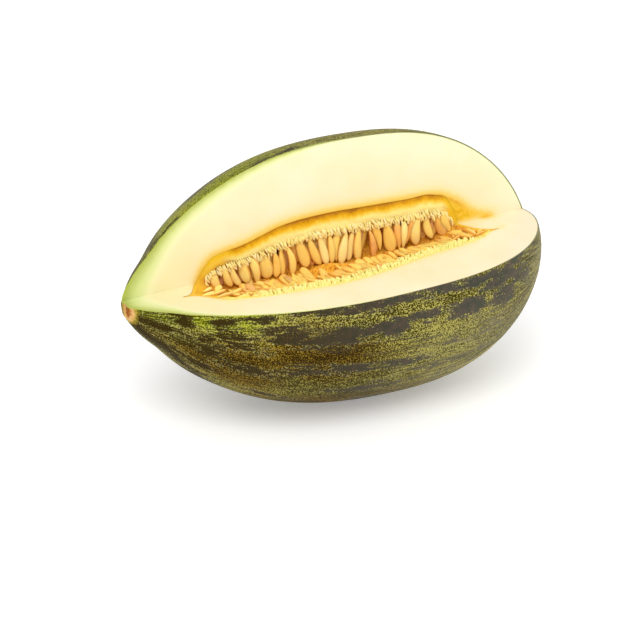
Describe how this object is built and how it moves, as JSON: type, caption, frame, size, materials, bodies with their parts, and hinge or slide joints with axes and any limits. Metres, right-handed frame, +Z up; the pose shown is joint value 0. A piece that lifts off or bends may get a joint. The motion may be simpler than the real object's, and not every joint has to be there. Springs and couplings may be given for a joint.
{
  "type": "piel de sapo melon",
  "caption": "Long oval melon lying on its side with a lengthwise wedge cut away, showing pale flesh and a hollow filled with pulp and seeds.",
  "frame": {"origin": "on the resting surface, under the centre of the melon's bounding box", "axes": "+X along the melon from its stem end to its blossom end, -Y towards the side that the missing wedge opens to, +Z up"},
  "size_m": [0.223, 0.1304, 0.1286],
  "materials": {
    "rind_and_flesh": "dark olive rind speckled yellow-green, in a waxy satin; the cut faces are moist cream flesh with a green edge",
    "seed_pulp": "wet amber seeds in glossy orange-yellow pulp"
  },
  "bodies": {
    "root": {"melon_body": "rind_and_flesh", "seed_mass": "seed_pulp"}
  },
  "joints": []
}
